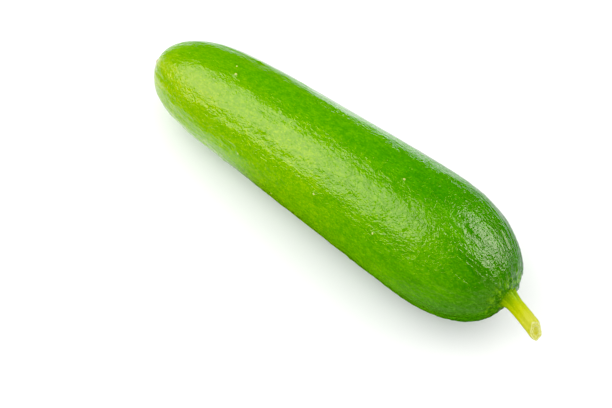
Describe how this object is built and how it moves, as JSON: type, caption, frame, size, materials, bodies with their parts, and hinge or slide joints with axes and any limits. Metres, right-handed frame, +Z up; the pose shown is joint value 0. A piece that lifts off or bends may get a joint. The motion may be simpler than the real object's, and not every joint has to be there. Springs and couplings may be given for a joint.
{
  "type": "mini cucumber",
  "caption": "Whole smooth-skinned mini cucumber with its cut stem stub, lying on its side.",
  "frame": {"origin": "bottom centre of the whole object's box, on the surface it lies on", "axes": "+X along the length from the blossom end to the stem end, +Z up; both ends turn slightly to -Y"},
  "size_m": [0.1404, 0.0368, 0.0371],
  "materials": {
    "skin": "glossy waxy skin, yellow-green at the blossom end and deeper green at the stem end",
    "stalk": "satin, ribbed, yellow-green with a pale fibrous cut"
  },
  "bodies": {
    "root": {"fruit": "skin", "stem": "stalk"}
  },
  "joints": []
}
